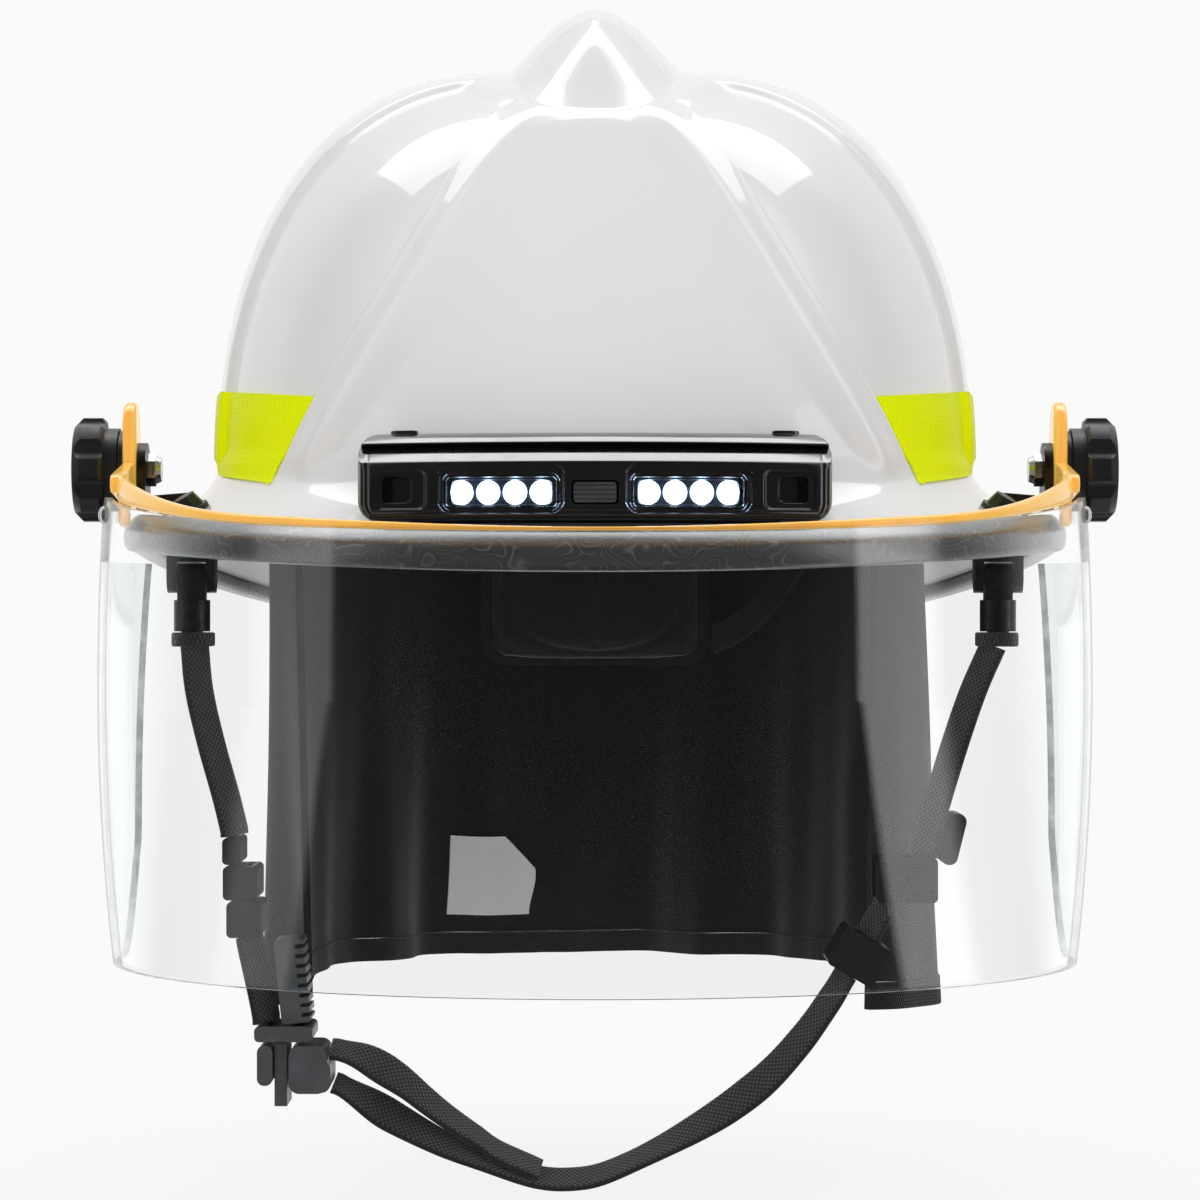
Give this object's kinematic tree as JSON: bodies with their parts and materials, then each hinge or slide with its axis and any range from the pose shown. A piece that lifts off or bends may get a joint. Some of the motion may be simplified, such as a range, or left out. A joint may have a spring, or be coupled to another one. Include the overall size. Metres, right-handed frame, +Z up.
{
  "type": "fire helmet",
  "caption": "Structural fire helmet with combed shell, rubber-edged brim, front light bar, raised-and-lowered clear face shield, ratchet suspension, neck curtain and chin strap.",
  "frame": {"origin": "middle of the head opening, level with the brim at its sides", "axes": "the wearer looks along -Y, +X is the right of a front view, +Z is up"},
  "size_m": [0.307, 0.347, 0.3483],
  "materials": {
    "shell_white": "glossy gel coat over moulded composite",
    "edging_rubber": "matt, fine embossed maze texture",
    "trim_lime": "retroreflective film, satin",
    "liner_foam": "moulded rigid foam",
    "harness_webbing": "woven polyester webbing",
    "pad_cloth": "knitted cloth over foam",
    "band_plastic": "moulded nylon, satin",
    "pinion_nylon": "moulded natural nylon",
    "curtain_cloth": "quilted flame-resistant cloth, black",
    "binding_tape": "woven tape",
    "tag_cloth": "bare white cloth",
    "light_body": "moulded nylon, fine grain",
    "light_seat": "matt",
    "light_window": "clear, polished",
    "led_dome": "clear moulded domes, lit blue-white",
    "circuit_board": "solder mask",
    "cell_can": "drawn can",
    "bright_steel": "zinc plated",
    "shield_clear": "clear polycarbonate, polished",
    "frame_amber": "translucent amber",
    "hardware_black": "moulded glass-filled nylon",
    "buckle_grey": "moulded acetal"
  },
  "bodies": {
    "helmet": {"outer_shell": "shell_white", "brim_edging": "edging_rubber", "reflective_trim": "trim_lime", "impact_liner": "liner_foam", "suspension_lugs": "band_plastic", "crown_straps": "harness_webbing", "crown_pad": "pad_cloth", "headband": "band_plastic", "band_hangers": "band_plastic", "brow_pad": "pad_cloth", "ratchet_housing": "band_plastic", "ratchet_cover": "band_plastic", "nape_pad": "pad_cloth", "neck_curtain": "curtain_cloth", "curtain_binding": "binding_tape", "curtain_tabs": "curtain_cloth", "care_tag": "tag_cloth", "light_housing": "light_body", "light_bracket": "light_seat", "light_lens": "light_window", "led_emitters": "led_dome", "led_board": "circuit_board", "battery_cells": "cell_can", "light_screws": "bright_steel", "pivot_bracket_left": "hardware_black", "pivot_bracket_right": "hardware_black", "pivot_nut_left": "bright_steel", "pivot_nut_right": "bright_steel", "brim_caps": "hardware_black", "strap_anchors": "hardware_black", "hanger_bracket": "hardware_black", "hanger_rivets": "bright_steel"},
    "shield": {"face_shield": "shield_clear", "shield_frame": "frame_amber", "shield_rivets": "bright_steel", "friction_disc_left": "hardware_black", "friction_disc_right": "hardware_black"},
    "knob_left": {"pivot_knob_left": "hardware_black"},
    "knob_right": {"pivot_knob_right": "hardware_black"},
    "ratchet": {"ratchet_pinion": "pinion_nylon", "ratchet_knob": "band_plastic"},
    "adjuster_left": {"adjust_strip_left": "band_plastic"},
    "adjuster_right": {"adjust_strip_right": "band_plastic"},
    "button": {"light_button": "light_body"},
    "chin_strap": {"strap_swivels": "hardware_black", "strap_webbing": "harness_webbing", "strap_buckle": "hardware_black", "release_buckle": "buckle_grey", "slide_adjuster": "hardware_black", "pull_tab": "buckle_grey"},
    "ring": {"hanging_ring": "bright_steel"}
  },
  "joints": [
    {"name": "shield_pivot", "type": "hinge", "parent": "helmet", "child": "shield", "pos_m": [0, -0.022, 0.0185], "axis": [-1, 0, 0], "range_deg": [0, 85]},
    {"name": "knob_turn_left", "type": "hinge", "parent": "helmet", "child": "knob_left", "pos_m": [-0.145, -0.022, 0.0185], "axis": [-1, 0, 0], "range_deg": [0, 90]},
    {"name": "knob_turn_right", "type": "hinge", "parent": "helmet", "child": "knob_right", "pos_m": [0.145, -0.022, 0.0185], "axis": [1, 0, 0], "range_deg": [-90, 0]},
    {"name": "ratchet_turn", "type": "hinge", "parent": "helmet", "child": "ratchet", "pos_m": [0, 0.0989, -0.02], "axis": [0, -1, 0], "range_deg": [0, 50.9]},
    {"name": "adjust_left", "type": "slide", "parent": "helmet", "child": "adjuster_left", "axis": [-1, 0, 0], "range_m": [0, 0.008]},
    {"name": "adjust_right", "type": "slide", "parent": "helmet", "child": "adjuster_right", "axis": [1, 0, 0], "range_m": [0, 0.008]},
    {"name": "button_press", "type": "slide", "parent": "helmet", "child": "button", "axis": [0, 1, 0], "range_m": [0, 0.0014], "stiffness_N_per_m": 600, "springref_m": -0.001},
    {"name": "chin_swing", "type": "hinge", "parent": "helmet", "child": "chin_strap", "pos_m": [0, -0.061, -0.013], "axis": [1, 0, 0], "range_deg": [-25, 20]},
    {"name": "ring_swing", "type": "hinge", "parent": "helmet", "child": "ring", "pos_m": [0, 0.15272, -0.02926], "axis": [1, 0, 0], "range_deg": [-85, 50]}
  ],
  "couplings": [
    {"joint": "adjust_left", "follows": "ratchet_turn", "m_per_rad": 0.009},
    {"joint": "adjust_right", "follows": "ratchet_turn", "m_per_rad": 0.009}
  ]
}
